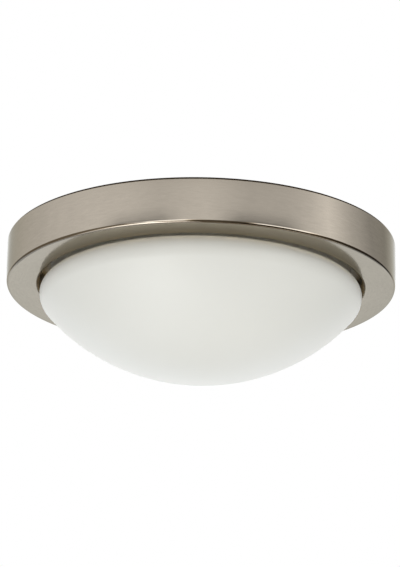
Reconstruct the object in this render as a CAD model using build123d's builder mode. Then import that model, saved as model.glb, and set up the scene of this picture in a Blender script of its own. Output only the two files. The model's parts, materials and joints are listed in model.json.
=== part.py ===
from build123d import *
import os
from math import atan2, cos, degrees, radians, sin, sqrt

# Flush ceiling light with an opal glass shade and two screw-in lamps. Millimetres, +Z up.
# The origin is on the light's axis in the ceiling plane, and everything hangs below it.

# Clearances
CURVE_GAP = 0.3
SCREW_GAP = 0.1
SEAT_GAP = 0.2

# Drum ring: one drawn and rolled sheet with a flat underside and a turned-up collar
DRUM_DIAMETER = 330.0
DRUM_HEIGHT = 38.6
SHEET = 1.0
RING_WIDTH = 27.6
EDGE_RADIUS = 1.6
LIP_RADIUS = 3.2
COLLAR_HEIGHT = 12.0
RIM_WIDTH = 5.0
RIM_RADIUS = 1.6
FLANGE_DROP = 3.0
FLANGE_WIDTH = 12.0
FLANGE_BEND = 1.0

# Back plate: a dished disc under the drum's top flange
PLATE_DEPTH = 12.0
PLATE_EDGE_GAP = 0.4
DISH_MARGIN = 2.0
DISH_SLOPE = 4.0
DISH_BEND = 3.0
KEYHOLE_ANGLE = 14.0
KEYHOLE_SLOT_WIDTH = 5.0
RIVET_COUNT = 6
RIVET_RADIUS = 1.6
RIVET_HEAD_RADIUS = 3.0
RIVET_HEAD_HEIGHT = 1.2
RIVET_TAIL_RADIUS = 2.5
RIVET_TAIL_HEIGHT = 0.8

# Insulation pad on the ceiling side of the plate
PAD_THICKNESS = 9.5
PAD_MARGIN = 3.0

# Mounting strap for a ceiling box, with its screws and nuts
STRAP_WIDTH = 25.0
STRAP_THICKNESS = 2.0
STRAP_DROP = 4.0
STRAP_DROP_RUN = 3.5
STRAP_END = 7.0
STRAP_CORNER = 4.0
BOX_SLOT_SPACING = 79.4
BOX_SLOT_LENGTH = 14.1
BOX_SLOT_WIDTH = 4.6
MOUNT_SPACING = 112.0
MOUNT_SCREW_RADIUS = 2.05
MOUNT_HEAD_RADIUS = 3.9
MOUNT_HEAD_HEIGHT = 2.4
CAP_NUT_RADIUS = 6.5
CAP_NUT_HEIGHT = 11.0
CAP_NUT_BORE_DEPTH = 8.0
CAP_NUT_DOME = 3.5
GROUND_SCREW_X = 20.0
STRAP_HOLE_RADIUS = 8.0

# Cable inlet and terminal block
INLET_BORE_RADIUS = 5.0
INLET_WALL = 2.6
INLET_FLANGE = 3.0
INLET_FLANGE_THICKNESS = 1.6
INLET_COLLAR = 4.0
INLET_SNAP = 1.2
POLE_COUNT = 3
POLE_PITCH = 8.0
POLE_WIDTH = 6.6
TERMINAL_WIDTH = 16.0
TERMINAL_BASE = 4.0
TERMINAL_HEIGHT = 14.0
TERMINAL_TAB = 7.5
TERMINAL_CORNER = 1.2
TERMINAL_SCREW_SPACING = 8.0
TERMINAL_SCREW_RADIUS = 1.7
TERMINAL_SCREW_DEPTH = 6.0
TERMINAL_SCREW_SINK = 1.0
WIRE_HOLE_RADIUS = 1.5
WIRE_DEPTH = 5.0

# Small pan-head screws through the plate
SCREW_RADIUS = 1.8
SCREW_HEAD_RADIUS = 3.4
SCREW_HEAD_HEIGHT = 2.2
SCREW_HEAD_ROUND = 0.9

# Lamps: screw caps and pear-shaped envelopes lying flat, side by side and head to tail
LAMP_SPACING = 78.0
LAMP_HEADROOM = 6.0
GLOBE_RADIUS = 30.0
LAMP_LENGTH = 108.0
GLOBE_NECK_RADIUS = 14.2
GLOBE_WAIST_RADIUS = 40.0
GLOBE_WALL = 0.9
GLOBE_STEM_LENGTH = 8.4
GLOBE_FLARE = 2.0
CAP_RADIUS = 13.1
CAP_WALL = 0.6
CAP_END = 27.0
CAP_START = 5.0
CAP_EDGE = 2.0
TIP_RADIUS = 4.6
TIP_HEIGHT = 2.0
INSULATOR_RADIUS = 10.5

# Lamp holders and their brackets
HOLDER_RADIUS = 19.0
HOLDER_RIM_RADIUS = 17.4
HOLDER_LENGTH = 36.0
HOLDER_RIM_LENGTH = 9.0
HOLDER_FLOOR = 8.0
HOLDER_EDGE = 0.7
HOLDER_SCREW_SPACING = 24.0
HOLDER_SCREW_DEPTH = 6.0
HOLDER_LEAD_SPACING = 10.0
HOLDER_LEAD_INSET = 4.5
HOLDER_LEAD_DEPTH = 6.0
SHELL_WALL = 0.5
SHELL_RECESS = 3.0
CONTACT_RADIUS = 6.0
CONTACT_SHEET = 0.7
CONTACT_RISE = 1.5
BRACKET_SHEET = 1.2
BRACKET_WIDTH = 30.0
BRACKET_FOOT = 24.0
BRACKET_TAIL = 16.0
BRACKET_BEND = 2.5
BRACKET_CORNER = 4.0
BRACKET_WINDOW_RADIUS = 5.0
BRACKET_MARGIN = 20.0
BRACKET_SCREW_SPACING = 18.0

# Leads between the terminal block and the lamp holders
LEAD_RADIUS = 1.0
LEAD_BEND = 5.0
LEAD_LANE = 17.0
LEAD_LANE_STEP = 4.0
LEAD_TURN_X = 48.0
EARTH_SCREW_Y = 27.0

# Glass shade: a shallow dome, a rounded shoulder and a neck that rises into the drum
SHADE_MARGIN = 0.9
SHADE_DROP = 6.6
SHADE_DEPTH = 76.5
SHADE_SHOULDER_RADIUS = 16.0
SHADE_TURN_RADIUS = 9.0
SHADE_TURN_ANGLE = 60.0
SHADE_NECK_FILLET = 9.0
SHADE_WALL = 3.5
SHADE_EDGE = 1.2
GASKET_THICKNESS = 2.0
GASKET_MARGIN = 1.0

# Springs that hold the shade by its neck
SPRING_COUNT = 3
SPRING_WIDTH = 12.0
SPRING_SHEET = 0.8
SPRING_FOOT = 20.0
SPRING_BEND = 3.0
SPRING_KNEE_RADIUS = 2.5
SPRING_CONTACT_ANGLE = 35.0
SPRING_LEG_ANGLE = 38.0
SPRING_TAIL_ANGLE = 42.0
SPRING_TAIL_LENGTH = 8.5
SPRING_SCREW_INSET = 4.5
SPRING_SCREW_SPACING = 8.5
SPRING_CORNER = 2.0

# Levels and radii that follow from the sizes above
drum_radius = DRUM_DIAMETER / 2
ring_z = -DRUM_HEIGHT
opening_radius = drum_radius - RING_WIDTH
flange_outer = drum_radius - RIM_WIDTH
flange_inner = flange_outer - FLANGE_WIDTH
flange_under = -FLANGE_DROP - SHEET
rivet_circle = (flange_outer + flange_inner) / 2

plate_radius = drum_radius - SHEET - PLATE_EDGE_GAP
dish_top = flange_inner - DISH_MARGIN
dish_floor = dish_top - DISH_SLOPE
plate_top = -PLATE_DEPTH
plate_under = plate_top - SHEET

mount_x = MOUNT_SPACING / 2
strap_half = mount_x + STRAP_END
step_inner = mount_x - MOUNT_HEAD_RADIUS - STRAP_DROP_RUN
strap_end_top = -STRAP_DROP
strap_end_under = strap_end_top - STRAP_THICKNESS
nut_bottom = plate_under - CAP_NUT_HEIGHT
mount_hole = MOUNT_SCREW_RADIUS + SCREW_GAP
screw_hole = SCREW_RADIUS + SCREW_GAP
pad_inner = sqrt(strap_half**2 + (STRAP_WIDTH / 2) ** 2) + PAD_MARGIN
pad_outer = dish_floor - PAD_MARGIN

inlet_body = INLET_BORE_RADIUS + INLET_WALL
inlet_flange = inlet_body + INLET_FLANGE
terminal_length = POLE_COUNT * POLE_PITCH + TERMINAL_TAB
terminal_start = (inlet_flange + mount_x - CAP_NUT_RADIUS - terminal_length) / 2
pole_x = [terminal_start + POLE_PITCH * (index + 0.5) for index in range(POLE_COUNT)]
terminal_tab_x = terminal_start + POLE_COUNT * POLE_PITCH + TERMINAL_TAB / 2
terminal_face = TERMINAL_WIDTH / 2
wire_z = plate_under - TERMINAL_BASE - WIRE_HOLE_RADIUS

shade_radius = opening_radius - SHADE_MARGIN
shade_wide_z = ring_z - SHADE_DROP
shade_bottom = ring_z - SHADE_DEPTH
shoulder_x = shade_radius - SHADE_SHOULDER_RADIUS
turn_x = shade_radius - SHADE_TURN_RADIUS
turn = radians(SHADE_TURN_ANGLE)
neck_radius = turn_x + SHADE_TURN_RADIUS * cos(turn) - SHADE_NECK_FILLET * (1 - cos(turn))
neck_inner = neck_radius - SHADE_WALL
neck_z = shade_wide_z + (SHADE_TURN_RADIUS + SHADE_NECK_FILLET) * sin(turn)
shade_top = plate_under - GASKET_THICKNESS - SEAT_GAP
dome_rise = shade_wide_z - shade_bottom
dome_radius = (shoulder_x**2 + dome_rise**2 - SHADE_SHOULDER_RADIUS**2) / (
    2 * (dome_rise - SHADE_SHOULDER_RADIUS)
)
dome_z = shade_bottom + dome_radius
dome_angle = degrees(atan2(shoulder_x, dome_z - shade_wide_z))

contact = radians(SPRING_CONTACT_ANGLE)
leg = radians(SPRING_LEG_ANGLE)
tail = radians(SPRING_TAIL_ANGLE)
flare_reach = SHADE_NECK_FILLET + SHADE_WALL + CURVE_GAP + SPRING_KNEE_RADIUS
knee_x = neck_radius + SHADE_NECK_FILLET - flare_reach * cos(contact)
knee_x -= (SPRING_WIDTH / 2) ** 2 / (2 * knee_x)
knee_z = neck_z - flare_reach * sin(contact)
knee_corner = SPRING_KNEE_RADIUS / cos((leg + tail) / 2)
knee_corner_x = knee_x + knee_corner * cos((leg - tail) / 2)
knee_corner_z = knee_z + knee_corner * sin((leg - tail) / 2)
foot_end = knee_corner_x - (plate_under - knee_corner_z) * sin(leg) / cos(leg)
foot_start = foot_end - SPRING_FOOT
tail_run = SPRING_TAIL_LENGTH + SPRING_KNEE_RADIUS
spring_screw_radii = [
    foot_start + SPRING_SCREW_INSET,
    foot_start + SPRING_SCREW_INSET + SPRING_SCREW_SPACING,
]

lamp_z = plate_under - LAMP_HEADROOM - GLOBE_RADIUS
lamp_y = -LAMP_SPACING / 2
bracket_reach = neck_inner - BRACKET_MARGIN
holder_x = -sqrt(bracket_reach**2 - (LAMP_SPACING / 2 + BRACKET_WIDTH / 2) ** 2)
tip_start = HOLDER_FLOOR + CONTACT_RISE + CURVE_GAP
shell_inner = CAP_RADIUS + CURVE_GAP
shell_outer = shell_inner + SHELL_WALL
holder_bore = shell_outer + CURVE_GAP
lead_x = holder_x + HOLDER_LEAD_INSET

# The first lamp's frames: its section holds radius and length, its face looks along the lamp
lamp_origin = (holder_x, lamp_y, lamp_z)
lamp_axis = Axis(lamp_origin, (1, 0, 0))
lamp_section = Plane(origin=lamp_origin, x_dir=(0, 1, 0), z_dir=(0, 0, -1))
lamp_face = Plane(origin=lamp_origin, x_dir=(0, 1, 0), z_dir=(1, 0, 0))


def pan_screw(shank_radius, shank_length, head_radius, head_height):
    """A screw whose head hangs below its seat at z = 0 and whose shank rises from it."""
    with BuildPart() as screw:
        with BuildSketch(Plane.XZ):
            with BuildLine():
                Polyline(
                    (0, -head_height),
                    (head_radius, -head_height),
                    (head_radius, 0),
                    (shank_radius, 0),
                    (shank_radius, shank_length),
                    (0, shank_length),
                    close=True,
                )
            make_face()
        revolve(axis=Axis.Z)
        rim = screw.edges().filter_by(GeomType.CIRCLE).group_by(Axis.Z)[0]
        fillet(rim, min(SCREW_HEAD_ROUND, 0.45 * head_height))
    return screw.part


def lead(points, bend):
    """A round insulated wire along straight runs joined by arcs."""
    with BuildPart() as wire:
        with BuildLine() as route:
            FilletPolyline(*points, radius=bend)
        with BuildSketch(Plane(origin=route.line @ 0, z_dir=route.line % 0)):
            Circle(LEAD_RADIUS)
        sweep()
    return wire.part


plate_screw = pan_screw(SCREW_RADIUS, SHEET, SCREW_HEAD_RADIUS, SCREW_HEAD_HEIGHT)


# Drum ring: rolled rim at the ceiling, plain wall, flat underside, soft lip, turned-up collar
with BuildPart() as drum_ring:
    with BuildSketch(Plane.XZ):
        with BuildLine() as skin:
            FilletPolyline(
                (flange_inner, -FLANGE_DROP),
                (flange_outer, -FLANGE_DROP),
                (flange_outer, 0),
                (drum_radius, 0),
                (drum_radius, ring_z),
                (opening_radius, ring_z),
                (opening_radius, ring_z + COLLAR_HEIGHT),
                radius=[FLANGE_BEND, RIM_RADIUS, RIM_RADIUS, EDGE_RADIUS, LIP_RADIUS],
            )
            offset(amount=SHEET, side=Side.RIGHT)
        make_face()
    revolve(axis=Axis.Z)
    with BuildSketch(Plane.XY.offset(-FLANGE_DROP)):
        with PolarLocations(rivet_circle, RIVET_COUNT):
            Circle(RIVET_RADIUS + SCREW_GAP)
    extrude(amount=-SHEET, mode=Mode.SUBTRACT)

# Back plate: rim under the drum's flange, dished floor, inlet, keyholes and screw holes
bracket_screw_x = holder_x + BRACKET_FOOT / 2
bracket_screw_spots = [
    (side * bracket_screw_x, side * (lamp_y + step * BRACKET_SCREW_SPACING / 2))
    for side in (1, -1)
    for step in (1, -1)
]
earth_screw_spot = (pole_x[0], EARTH_SCREW_Y)
with BuildPart() as back_plate:
    with BuildSketch(Plane.XZ):
        with BuildLine():
            FilletPolyline(
                (plate_radius, flange_under),
                (dish_top, flange_under),
                (dish_floor, plate_top),
                (0, plate_top),
                radius=DISH_BEND,
            )
            offset(amount=SHEET, side=Side.LEFT)
        make_face()
    revolve(axis=Axis.Z)
    with BuildSketch(Plane.XY.offset(plate_top)):
        Circle(inlet_body + SEAT_GAP)
        with Locations(*bracket_screw_spots):
            Circle(screw_hole)
        with Locations(earth_screw_spot, (terminal_tab_x, 0)):
            Circle(screw_hole)
        for radius in spring_screw_radii:
            with PolarLocations(radius, SPRING_COUNT):
                Circle(screw_hole)
        with PolarLocations(mount_x, 2, start_angle=KEYHOLE_ANGLE):
            Circle(CAP_NUT_RADIUS + CURVE_GAP)
        for start in (0, 180):
            SlotArc(
                CenterArc((0, 0), mount_x, start, KEYHOLE_ANGLE, mode=Mode.PRIVATE),
                KEYHOLE_SLOT_WIDTH,
            )
    extrude(amount=-SHEET, mode=Mode.SUBTRACT)
    with BuildSketch(Plane.XY.offset(flange_under)):
        with PolarLocations(rivet_circle, RIVET_COUNT):
            Circle(RIVET_RADIUS + SCREW_GAP)
    extrude(amount=-SHEET, mode=Mode.SUBTRACT)

# Rivets that join the drum's flange to the plate's rim
with BuildPart() as rivet:
    with BuildSketch(Plane.XZ):
        with BuildLine():
            ThreePointArc(
                (0, RIVET_HEAD_HEIGHT),
                (RIVET_HEAD_RADIUS * 0.7, RIVET_HEAD_HEIGHT * 0.6),
                (RIVET_HEAD_RADIUS, 0),
            )
            Polyline(
                (RIVET_HEAD_RADIUS, 0),
                (RIVET_RADIUS, 0),
                (RIVET_RADIUS, -2 * SHEET),
                (RIVET_TAIL_RADIUS, -2 * SHEET),
                (RIVET_TAIL_RADIUS, -2 * SHEET - RIVET_TAIL_HEIGHT),
                (0, -2 * SHEET - RIVET_TAIL_HEIGHT),
                (0, RIVET_HEAD_HEIGHT),
            )
        make_face()
    revolve(axis=Axis.Z)
with BuildPart() as plate_rivets:
    with Locations((0, 0, -FLANGE_DROP)):
        with PolarLocations(rivet_circle, RIVET_COUNT):
            add(rivet.part)

# Insulation pad that lies on the plate around the strap
with BuildPart() as insulation_pad:
    with BuildSketch(Plane.XY.offset(plate_top)):
        Circle(pad_outer)
        Circle(pad_inner, mode=Mode.SUBTRACT)
    extrude(amount=PAD_THICKNESS)

# Mounting strap: flat middle against the ceiling box, ends stepped down for the screw heads
with BuildPart() as mounting_strap:
    with BuildSketch(Plane.XZ):
        with BuildLine():
            Polyline(
                (-strap_half, strap_end_top),
                (-step_inner - STRAP_DROP_RUN, strap_end_top),
                (-step_inner, 0),
                (step_inner, 0),
                (step_inner + STRAP_DROP_RUN, strap_end_top),
                (strap_half, strap_end_top),
            )
            offset(amount=STRAP_THICKNESS, side=Side.RIGHT)
        make_face()
    extrude(amount=STRAP_WIDTH / 2, both=True)
    ends = mounting_strap.edges().filter_by(Axis.Z)
    fillet(ends, STRAP_CORNER)
    with BuildSketch(Plane.XY):
        Circle(STRAP_HOLE_RADIUS)
        with GridLocations(BOX_SLOT_SPACING, 0, 2, 1):
            SlotOverall(BOX_SLOT_LENGTH, BOX_SLOT_WIDTH)
        with GridLocations(MOUNT_SPACING, 0, 2, 1):
            Circle(mount_hole)
        with Locations((GROUND_SCREW_X, 0)):
            Circle(screw_hole)
    extrude(amount=strap_end_under, mode=Mode.SUBTRACT)

# Ground screw in the strap, and the two screws that hang from its ends
with BuildPart() as ground_screw:
    with Locations((GROUND_SCREW_X, 0, -STRAP_THICKNESS)):
        add(pan_screw(SCREW_RADIUS, STRAP_THICKNESS, SCREW_HEAD_RADIUS, SCREW_HEAD_HEIGHT))
mount_screw_length = strap_end_top - nut_bottom - (CAP_NUT_HEIGHT - CAP_NUT_BORE_DEPTH) - SEAT_GAP
mount_screw = pan_screw(MOUNT_SCREW_RADIUS, mount_screw_length, MOUNT_HEAD_RADIUS, MOUNT_HEAD_HEIGHT)
with BuildPart() as mounting_screws:
    for side in (1, -1):
        with Locations(Plane(origin=(side * mount_x, 0, strap_end_top), z_dir=(0, 0, -1))):
            add(mount_screw)

# Cap nuts that clamp the plate from inside
with BuildPart() as cap_nuts:
    with BuildSketch(Plane.XY.offset(plate_under)):
        with GridLocations(MOUNT_SPACING, 0, 2, 1):
            Circle(CAP_NUT_RADIUS)
    extrude(amount=-CAP_NUT_HEIGHT)
    fillet(cap_nuts.edges().filter_by(GeomType.CIRCLE).group_by(Axis.Z)[0], CAP_NUT_DOME)
    with BuildSketch(Plane.XY.offset(plate_under)):
        with GridLocations(MOUNT_SPACING, 0, 2, 1):
            Circle(mount_hole)
    extrude(amount=-CAP_NUT_BORE_DEPTH, mode=Mode.SUBTRACT)

# Snap-in bushing in the plate's centre, where the supply cable comes in
with BuildPart() as inlet_bushing:
    with BuildSketch(Plane.XZ):
        with BuildLine():
            Polyline(
                (INLET_BORE_RADIUS, plate_top + INLET_SNAP),
                (inlet_body, plate_top + INLET_SNAP),
                (inlet_body + INLET_SNAP, plate_top),
                (inlet_body, plate_top),
                (inlet_body, plate_under),
                (inlet_flange, plate_under),
                (inlet_flange, plate_under - INLET_FLANGE_THICKNESS),
                (inlet_body, plate_under - INLET_FLANGE_THICKNESS),
                (inlet_body, plate_under - INLET_COLLAR),
                (INLET_BORE_RADIUS, plate_under - INLET_COLLAR),
                close=True,
            )
        make_face()
    revolve(axis=Axis.Z)

# Terminal block: a base with one tower per pole, screw wells below and wire holes across
terminal_screw_spots = [
    (x, side * TERMINAL_SCREW_SPACING / 2) for x in pole_x for side in (1, -1)
]
terminal_bottom = plate_under - TERMINAL_HEIGHT
with BuildPart() as terminal_block:
    with BuildSketch(Plane.XY.offset(plate_under)):
        with Locations((terminal_start + terminal_length / 2, 0)):
            RectangleRounded(terminal_length, TERMINAL_WIDTH, TERMINAL_CORNER)
    extrude(amount=-TERMINAL_BASE)
    with BuildSketch(Plane.XY.offset(plate_under - TERMINAL_BASE)):
        with Locations(*[(x, 0) for x in pole_x]):
            RectangleRounded(POLE_WIDTH, TERMINAL_WIDTH, TERMINAL_CORNER)
    extrude(amount=TERMINAL_BASE - TERMINAL_HEIGHT)
    with BuildSketch(Plane.XY.offset(terminal_bottom)):
        with Locations(*terminal_screw_spots):
            Circle(TERMINAL_SCREW_RADIUS + SCREW_GAP)
    extrude(amount=TERMINAL_SCREW_DEPTH, mode=Mode.SUBTRACT)
    with BuildSketch(Plane.XZ):
        with Locations(*[(x, wire_z) for x in pole_x]):
            Circle(WIRE_HOLE_RADIUS)
    extrude(amount=terminal_face, both=True, mode=Mode.SUBTRACT)
    with BuildSketch(Plane.XY.offset(plate_under)):
        with Locations((terminal_tab_x, 0)):
            Circle(screw_hole)
    extrude(amount=-TERMINAL_BASE, mode=Mode.SUBTRACT)

# Screws of the terminal block, and the two screws that hold the block and the earth lead
with BuildPart() as terminal_screws:
    with BuildSketch(Plane.XY.offset(terminal_bottom + TERMINAL_SCREW_SINK)):
        with Locations(*terminal_screw_spots):
            Circle(TERMINAL_SCREW_RADIUS)
    extrude(amount=TERMINAL_SCREW_DEPTH - TERMINAL_SCREW_SINK)
with BuildPart() as terminal_fixing_screw:
    with Locations((terminal_tab_x, 0, plate_under - TERMINAL_BASE)):
        add(pan_screw(SCREW_RADIUS, TERMINAL_BASE + SHEET, SCREW_HEAD_RADIUS, SCREW_HEAD_HEIGHT))
with BuildPart() as earth_screw:
    with Locations((*earth_screw_spot, plate_under)):
        add(plate_screw)

# Bracket of the first lamp: a foot under the plate and an upright behind the holder
bracket_bottom = lamp_z - BRACKET_TAIL
with BuildPart() as holder_bracket:
    with BuildSketch(Plane(origin=(0, lamp_y, 0), x_dir=(1, 0, 0), z_dir=(0, -1, 0))):
        with BuildLine():
            FilletPolyline(
                (holder_x + BRACKET_FOOT, plate_under - BRACKET_SHEET),
                (holder_x, plate_under - BRACKET_SHEET),
                (holder_x, bracket_bottom),
                radius=BRACKET_BEND,
            )
            offset(amount=BRACKET_SHEET, side=Side.RIGHT)
        make_face()
    extrude(amount=BRACKET_WIDTH / 2, both=True)
    fillet(holder_bracket.edges().filter_by(Axis.Z).group_by(Axis.X)[-1], BRACKET_CORNER)
    fillet(holder_bracket.edges().filter_by(Axis.X).group_by(Axis.Z)[0], BRACKET_CORNER)
    with BuildSketch(Plane.XY.offset(plate_under)):
        with Locations((bracket_screw_x, lamp_y)):
            with GridLocations(0, BRACKET_SCREW_SPACING, 1, 2):
                Circle(screw_hole)
    extrude(amount=-BRACKET_SHEET, mode=Mode.SUBTRACT)
    with BuildSketch(lamp_face):
        Circle(BRACKET_WINDOW_RADIUS)
        with GridLocations(HOLDER_SCREW_SPACING, 0, 2, 1):
            Circle(screw_hole)
    extrude(amount=-BRACKET_SHEET, mode=Mode.SUBTRACT)

# Screws of both brackets, and the screws that hold the holders on them
bracket_screw = pan_screw(
    SCREW_RADIUS, BRACKET_SHEET + SHEET, SCREW_HEAD_RADIUS, SCREW_HEAD_HEIGHT
)
with BuildPart() as bracket_screws:
    with Locations(*[(x, y, plate_under - BRACKET_SHEET) for x, y in bracket_screw_spots]):
        add(bracket_screw)
holder_screw = pan_screw(
    SCREW_RADIUS, BRACKET_SHEET + HOLDER_SCREW_DEPTH, SCREW_HEAD_RADIUS, SCREW_HEAD_HEIGHT
)
with BuildPart() as holder_screw_pair:
    with Locations(lamp_face.offset(-BRACKET_SHEET)):
        with GridLocations(HOLDER_SCREW_SPACING, 0, 2, 1):
            add(holder_screw)
with BuildPart() as holder_screws:
    with PolarLocations(0, 2):
        add(holder_screw_pair.part)

# Porcelain lamp holder: a body with a narrower rim, a deep bore, screw holes and lead holes
with BuildPart() as lamp_holder:
    with BuildSketch(lamp_section):
        with BuildLine():
            Polyline(
                (0, 0),
                (HOLDER_RADIUS, 0),
                (HOLDER_RADIUS, HOLDER_LENGTH - HOLDER_RIM_LENGTH),
                (HOLDER_RIM_RADIUS, HOLDER_LENGTH - HOLDER_RIM_LENGTH),
                (HOLDER_RIM_RADIUS, HOLDER_LENGTH),
                (holder_bore, HOLDER_LENGTH),
                (holder_bore, HOLDER_FLOOR),
                (0, HOLDER_FLOOR),
                close=True,
            )
        make_face()
    revolve(axis=lamp_axis)
    rounds = lamp_holder.edges().filter_by(GeomType.CIRCLE)
    fillet(rounds.filter_by(lambda edge: edge.radius > holder_bore + SEAT_GAP), HOLDER_EDGE)
    with BuildSketch(lamp_face):
        with GridLocations(HOLDER_SCREW_SPACING, 0, 2, 1):
            Circle(screw_hole)
    extrude(amount=HOLDER_SCREW_DEPTH + SEAT_GAP, mode=Mode.SUBTRACT)
    with BuildSketch(Plane.XY.offset(lamp_z + HOLDER_RADIUS)):
        with Locations((lead_x, lamp_y)):
            with GridLocations(0, HOLDER_LEAD_SPACING, 1, 2):
                Circle(LEAD_RADIUS + CURVE_GAP)
    extrude(amount=-HOLDER_LEAD_DEPTH - SEAT_GAP, mode=Mode.SUBTRACT)

# Brass screw shell and sprung centre contact inside the holder
with BuildPart() as screw_shell:
    with BuildSketch(lamp_section):
        with BuildLine():
            Polyline(
                (CONTACT_RADIUS + 2 * SHELL_WALL, HOLDER_FLOOR),
                (shell_outer, HOLDER_FLOOR),
                (shell_outer, HOLDER_LENGTH - SHELL_RECESS),
                (shell_inner, HOLDER_LENGTH - SHELL_RECESS),
                (shell_inner, HOLDER_FLOOR + SHELL_WALL),
                (CONTACT_RADIUS + 2 * SHELL_WALL, HOLDER_FLOOR + SHELL_WALL),
                close=True,
            )
        make_face()
    revolve(axis=lamp_axis)
with BuildPart() as centre_contact:
    with BuildSketch(lamp_section):
        with BuildLine():
            Polyline(
                (0, HOLDER_FLOOR),
                (CONTACT_RADIUS, HOLDER_FLOOR),
                (CONTACT_RADIUS, HOLDER_FLOOR + CONTACT_SHEET),
                (CONTACT_RADIUS / 2, HOLDER_FLOOR + CONTACT_RISE),
                (0, HOLDER_FLOOR + CONTACT_RISE),
                close=True,
            )
        make_face()
    revolve(axis=lamp_axis)

# Lamp: solder tip, glass insulator, screw cap and pear-shaped envelope
insulator_start = tip_start + TIP_HEIGHT
cap_start = tip_start + CAP_START
cap_end = tip_start + CAP_END
with BuildPart() as lamp_tip:
    with BuildSketch(lamp_section):
        with BuildLine():
            ThreePointArc(
                (0, tip_start),
                (TIP_RADIUS * 0.7, tip_start + TIP_HEIGHT * 0.3),
                (TIP_RADIUS, insulator_start),
            )
            Polyline((TIP_RADIUS, insulator_start), (0, insulator_start), (0, tip_start))
        make_face()
    revolve(axis=lamp_axis)
with BuildPart() as lamp_insulator:
    with BuildSketch(lamp_section):
        with BuildLine():
            Polyline(
                (0, insulator_start),
                (TIP_RADIUS, insulator_start),
                (INSULATOR_RADIUS, cap_start),
                (0, cap_start),
                close=True,
            )
        make_face()
    revolve(axis=lamp_axis)
with BuildPart() as lamp_cap:
    with BuildSketch(lamp_section):
        with BuildLine():
            FilletPolyline(
                (0, cap_start),
                (CAP_RADIUS, cap_start),
                (CAP_RADIUS, cap_end),
                radius=CAP_EDGE,
            )
            offset(amount=CAP_WALL, side=Side.LEFT)
        make_face()
    revolve(axis=lamp_axis)
stem_radius = CAP_RADIUS - CAP_WALL - CURVE_GAP
stem_start = cap_end - GLOBE_STEM_LENGTH
flare_start = cap_end + CURVE_GAP
flare_end = flare_start + GLOBE_FLARE
globe_y = tip_start + LAMP_LENGTH - GLOBE_RADIUS
waist_x = GLOBE_NECK_RADIUS + GLOBE_WAIST_RADIUS
waist_rise = sqrt((GLOBE_RADIUS + GLOBE_WAIST_RADIUS) ** 2 - waist_x**2)
waist_y = globe_y - waist_rise
waist_angle = degrees(atan2(waist_rise, waist_x))
with BuildPart() as lamp_globe:
    with BuildSketch(lamp_section):
        with BuildLine():
            Polyline(
                (stem_radius, stem_start),
                (stem_radius, flare_start),
                (GLOBE_NECK_RADIUS, flare_end),
                (GLOBE_NECK_RADIUS, waist_y),
            )
            CenterArc((waist_x, waist_y), GLOBE_WAIST_RADIUS, 180, -waist_angle)
            CenterArc((0, globe_y), GLOBE_RADIUS, -waist_angle, 90 + waist_angle)
            offset(amount=GLOBE_WALL, side=Side.LEFT)
        make_face()
    revolve(axis=lamp_axis)

# Leads: each rises from its holder, runs along a lane under the plate and turns into its pole
lead_start = lamp_z + HOLDER_RADIUS - HOLDER_LEAD_DEPTH
wire_end = terminal_face - WIRE_DEPTH


def holder_lead(side, rank, pole):
    """The lead of one holder: side 1 is the first lamp, rank 0 is its inner lead."""
    hole_y = lamp_y + HOLDER_LEAD_SPACING * (0.5 - rank)
    lane_y = -LEAD_LANE - LEAD_LANE_STEP * rank
    points = [
        (lead_x, hole_y, lead_start),
        (lead_x, hole_y, wire_z),
        (-LEAD_TURN_X, lane_y, wire_z),
        (side * pole_x[pole], lane_y, wire_z),
        (side * pole_x[pole], -wire_end, wire_z),
    ]
    return lead([(side * x, side * y, z) for x, y, z in points], LEAD_BEND)


with BuildPart() as live_leads:
    add(holder_lead(1, 0, 1))
    add(holder_lead(-1, 1, 1))
with BuildPart() as neutral_leads:
    add(holder_lead(1, 1, 2))
    add(holder_lead(-1, 0, 2))
earth_z = plate_under - LEAD_RADIUS - SCREW_GAP
earth_end = EARTH_SCREW_Y - SCREW_HEAD_RADIUS - SCREW_GAP
earth_run = (earth_end - terminal_face) / 3
with BuildPart() as earth_lead:
    add(
        lead(
            [
                (pole_x[0], wire_end, wire_z),
                (pole_x[0], terminal_face + earth_run, wire_z),
                (pole_x[0], terminal_face + 2 * earth_run, earth_z),
                (pole_x[0], earth_end, earth_z),
            ],
            LEAD_BEND,
        )
    )

# Spring of the shade: a screwed foot, a slanting leg, a rounded knee and a lead-in tail
with BuildPart() as shade_spring:
    with BuildSketch(Plane.XZ):
        with BuildLine():
            FilletPolyline(
                (foot_start, plate_under),
                (foot_end, plate_under),
                (knee_corner_x, knee_corner_z),
                (knee_corner_x - tail_run * sin(tail), knee_corner_z - tail_run * cos(tail)),
                radius=[SPRING_BEND, SPRING_KNEE_RADIUS],
            )
            offset(amount=SPRING_SHEET, side=Side.RIGHT)
        make_face()
    extrude(amount=SPRING_WIDTH / 2, both=True)
    fillet(shade_spring.edges().filter_by(Axis.Z).group_by(Axis.X)[0], SPRING_CORNER)
    with BuildSketch(Plane.XY.offset(plate_under)):
        with Locations(*[(radius, 0) for radius in spring_screw_radii]):
            Circle(screw_hole)
    extrude(amount=-SPRING_SHEET, mode=Mode.SUBTRACT)
spring_screw = pan_screw(
    SCREW_RADIUS, SPRING_SHEET + SHEET, SCREW_HEAD_RADIUS, SCREW_HEAD_HEIGHT
)
with BuildPart() as spring_screws:
    with Locations((0, 0, plate_under - SPRING_SHEET)):
        for radius in spring_screw_radii:
            with PolarLocations(radius, SPRING_COUNT):
                add(spring_screw)

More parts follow.
